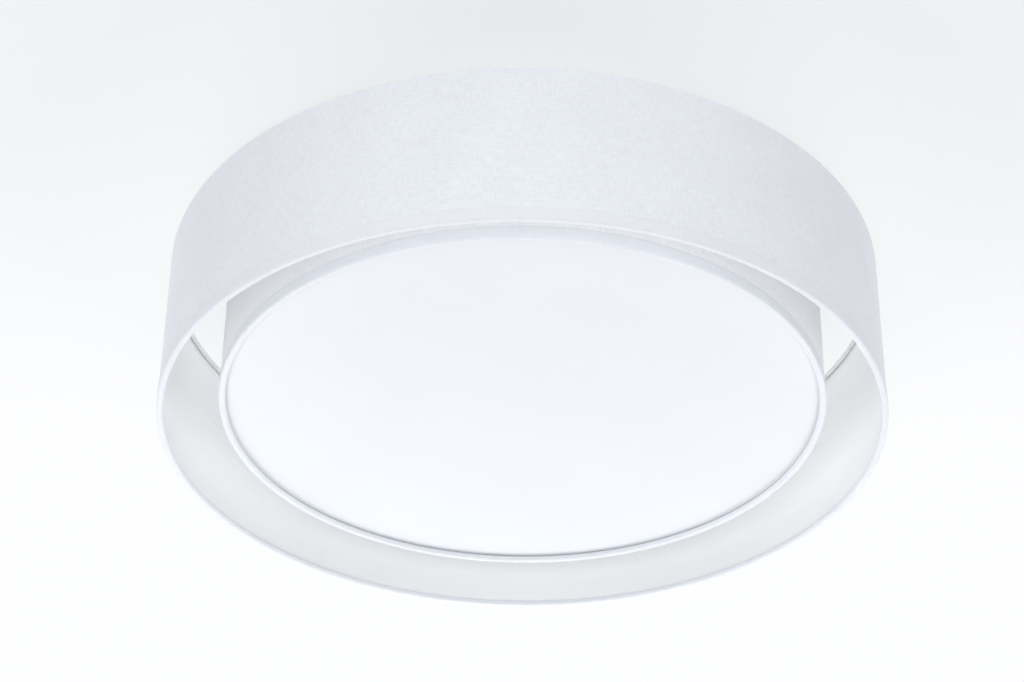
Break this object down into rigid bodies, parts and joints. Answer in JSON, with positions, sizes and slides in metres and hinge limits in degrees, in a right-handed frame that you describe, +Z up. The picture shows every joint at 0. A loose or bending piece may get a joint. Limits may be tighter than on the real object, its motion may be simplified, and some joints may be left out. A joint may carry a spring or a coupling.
{
  "type": "flush mount ceiling light",
  "caption": "Flush ceiling light: two concentric white linen drums, an opal disc in the inner one, bulbs on a pan behind it.",
  "frame": {"origin": "middle of the mounting strap's upper face, in the plane of the ceiling", "axes": "+Z up into the ceiling; +X along the mounting strap; one bulb points to +Y"},
  "size_m": [0.5007, 0.5008, 0.1205],
  "materials": {
    "zinc_steel": "zinc plated steel, bright and slightly dull",
    "white_paint": "white powder coat",
    "shade_wire": "white coated wire",
    "grommet_rubber": "soft black rubber",
    "box_plastic": "white moulded plastic",
    "strip_plastic": "off white moulded plastic",
    "screw_brass": "plain brass",
    "earth_sleeve": "green and yellow wire sleeve",
    "lead_sleeve": "white lead sleeve",
    "holder_plastic": "white heat resistant plastic",
    "socket_metal": "pressed bright metal",
    "contact_brass": "sprung brass",
    "tip_metal": "tinned brass",
    "cap_metal": "nickel plated thread with a black cone",
    "bulb_plastic": "white gloss plastic",
    "bulb_opal": "opal plastic",
    "knurled_steel": "nickel plated knurled steel",
    "linen": "fine off white linen outside, smooth white liner inside",
    "linen_binding": "folded linen strip",
    "opal_sheet": "opal sheet, satin"
  },
  "bodies": {
    "fixture": {"ceiling_pan": "white_paint", "mounting_strap": "zinc_steel", "strap_studs": "zinc_steel", "cap_nuts": "zinc_steel", "cable_grommet": "grommet_rubber", "connection_box": "box_plastic", "connection_lid": "box_plastic", "terminal_strip": "strip_plastic", "terminal_screws": "screw_brass", "earth_screw": "screw_brass", "earth_lug": "contact_brass", "earth_wire": "earth_sleeve", "holder_leads": "lead_sleeve", "bracket_1": "zinc_steel", "lampholder_1": "holder_plastic", "socket_shell_1": "socket_metal", "socket_contact_1": "contact_brass", "bracket_2": "zinc_steel", "lampholder_2": "holder_plastic", "socket_shell_2": "socket_metal", "socket_contact_2": "contact_brass", "bracket_3": "zinc_steel", "lampholder_3": "holder_plastic", "socket_shell_3": "socket_metal", "socket_contact_3": "contact_brass", "nipple_nuts": "zinc_steel", "bracket_screws": "zinc_steel", "bracket_nuts": "zinc_steel", "rim_nuts": "zinc_steel"},
    "shades": {"fitter_ring": "white_paint", "spokes": "shade_wire", "outer_top_ring": "shade_wire", "inner_top_ring": "shade_wire", "outer_lower_ring": "shade_wire", "inner_lower_ring": "shade_wire", "outer_drum": "linen", "inner_drum": "linen", "outer_binding": "linen_binding", "inner_binding": "linen_binding"},
    "diffuser_disc": {"diffuser": "opal_sheet"},
    "bulb_1_tip": {"bulb_tip_1": "tip_metal"},
    "bulb_1": {"bulb_cap_1": "cap_metal", "bulb_housing_1": "bulb_plastic", "bulb_globe_1": "bulb_opal"},
    "bulb_2_tip": {"bulb_tip_2": "tip_metal"},
    "bulb_2": {"bulb_cap_2": "cap_metal", "bulb_housing_2": "bulb_plastic", "bulb_globe_2": "bulb_opal"},
    "bulb_3_tip": {"bulb_tip_3": "tip_metal"},
    "bulb_3": {"bulb_cap_3": "cap_metal", "bulb_housing_3": "bulb_plastic", "bulb_globe_3": "bulb_opal"},
    "thumb_1_washer": {"thumb_washer_1": "zinc_steel"},
    "thumb_1": {"thumb_screw_1": "knurled_steel"},
    "thumb_2_washer": {"thumb_washer_2": "zinc_steel"},
    "thumb_2": {"thumb_screw_2": "knurled_steel"},
    "thumb_3_washer": {"thumb_washer_3": "zinc_steel"},
    "thumb_3": {"thumb_screw_3": "knurled_steel"}
  },
  "joints": [
    {"name": "shades_lower", "type": "slide", "parent": "fixture", "child": "shades", "axis": [0, 0, -1], "range_m": [0, 0.05]},
    {"name": "diffuser_lift", "type": "slide", "parent": "shades", "child": "diffuser_disc", "axis": [0, 0, 1], "range_m": [0, 0.016]},
    {"name": "bulb_1_travel", "type": "slide", "parent": "fixture", "child": "bulb_1_tip", "axis": [0, 1, 0], "range_m": [0, 0.01815]},
    {"name": "bulb_1_turn", "type": "hinge", "parent": "bulb_1_tip", "child": "bulb_1", "pos_m": [0, 0.06, -0.05], "axis": [0, -1, 0], "range_deg": [-1800, 0]},
    {"name": "bulb_2_travel", "type": "slide", "parent": "fixture", "child": "bulb_2_tip", "axis": [-0.866, -0.5, 0], "range_m": [0, 0.01815]},
    {"name": "bulb_2_turn", "type": "hinge", "parent": "bulb_2_tip", "child": "bulb_2", "pos_m": [-0.05196, -0.03, -0.05], "axis": [0.866, 0.5, 0], "range_deg": [-1800, 0]},
    {"name": "bulb_3_travel", "type": "slide", "parent": "fixture", "child": "bulb_3_tip", "axis": [0.866, -0.5, 0], "range_m": [0, 0.01815]},
    {"name": "bulb_3_turn", "type": "hinge", "parent": "bulb_3_tip", "child": "bulb_3", "pos_m": [0.05196, -0.03, -0.05], "axis": [-0.866, 0.5, 0], "range_deg": [-1800, 0]},
    {"name": "thumb_1_travel", "type": "slide", "parent": "fixture", "child": "thumb_1_washer", "axis": [0.866, 0.5, 0], "range_m": [0, 0.0021]},
    {"name": "thumb_1_turn", "type": "hinge", "parent": "thumb_1_washer", "child": "thumb_1", "pos_m": [0.16454, 0.095, -0.007], "axis": [-0.866, -0.5, 0], "range_deg": [-1080, 0]},
    {"name": "thumb_2_travel", "type": "slide", "parent": "fixture", "child": "thumb_2_washer", "axis": [-0.866, 0.5, 0], "range_m": [0, 0.0021]},
    {"name": "thumb_2_turn", "type": "hinge", "parent": "thumb_2_washer", "child": "thumb_2", "pos_m": [-0.16454, 0.095, -0.007], "axis": [0.866, -0.5, 0], "range_deg": [-1080, 0]},
    {"name": "thumb_3_travel", "type": "slide", "parent": "fixture", "child": "thumb_3_washer", "axis": [0, -1, 0], "range_m": [0, 0.0021]},
    {"name": "thumb_3_turn", "type": "hinge", "parent": "thumb_3_washer", "child": "thumb_3", "pos_m": [0, -0.19, -0.007], "axis": [0, 1, 0], "range_deg": [-1080, 0]}
  ],
  "couplings": [
    {"joint": "bulb_1_travel", "follows": "bulb_1_turn", "m_per_rad": -0.00057757},
    {"joint": "bulb_2_travel", "follows": "bulb_2_turn", "m_per_rad": -0.00057757},
    {"joint": "bulb_3_travel", "follows": "bulb_3_turn", "m_per_rad": -0.00057757},
    {"joint": "thumb_1_travel", "follows": "thumb_1_turn", "m_per_rad": -0.00011141},
    {"joint": "thumb_2_travel", "follows": "thumb_2_turn", "m_per_rad": -0.00011141},
    {"joint": "thumb_3_travel", "follows": "thumb_3_turn", "m_per_rad": -0.00011141}
  ]
}
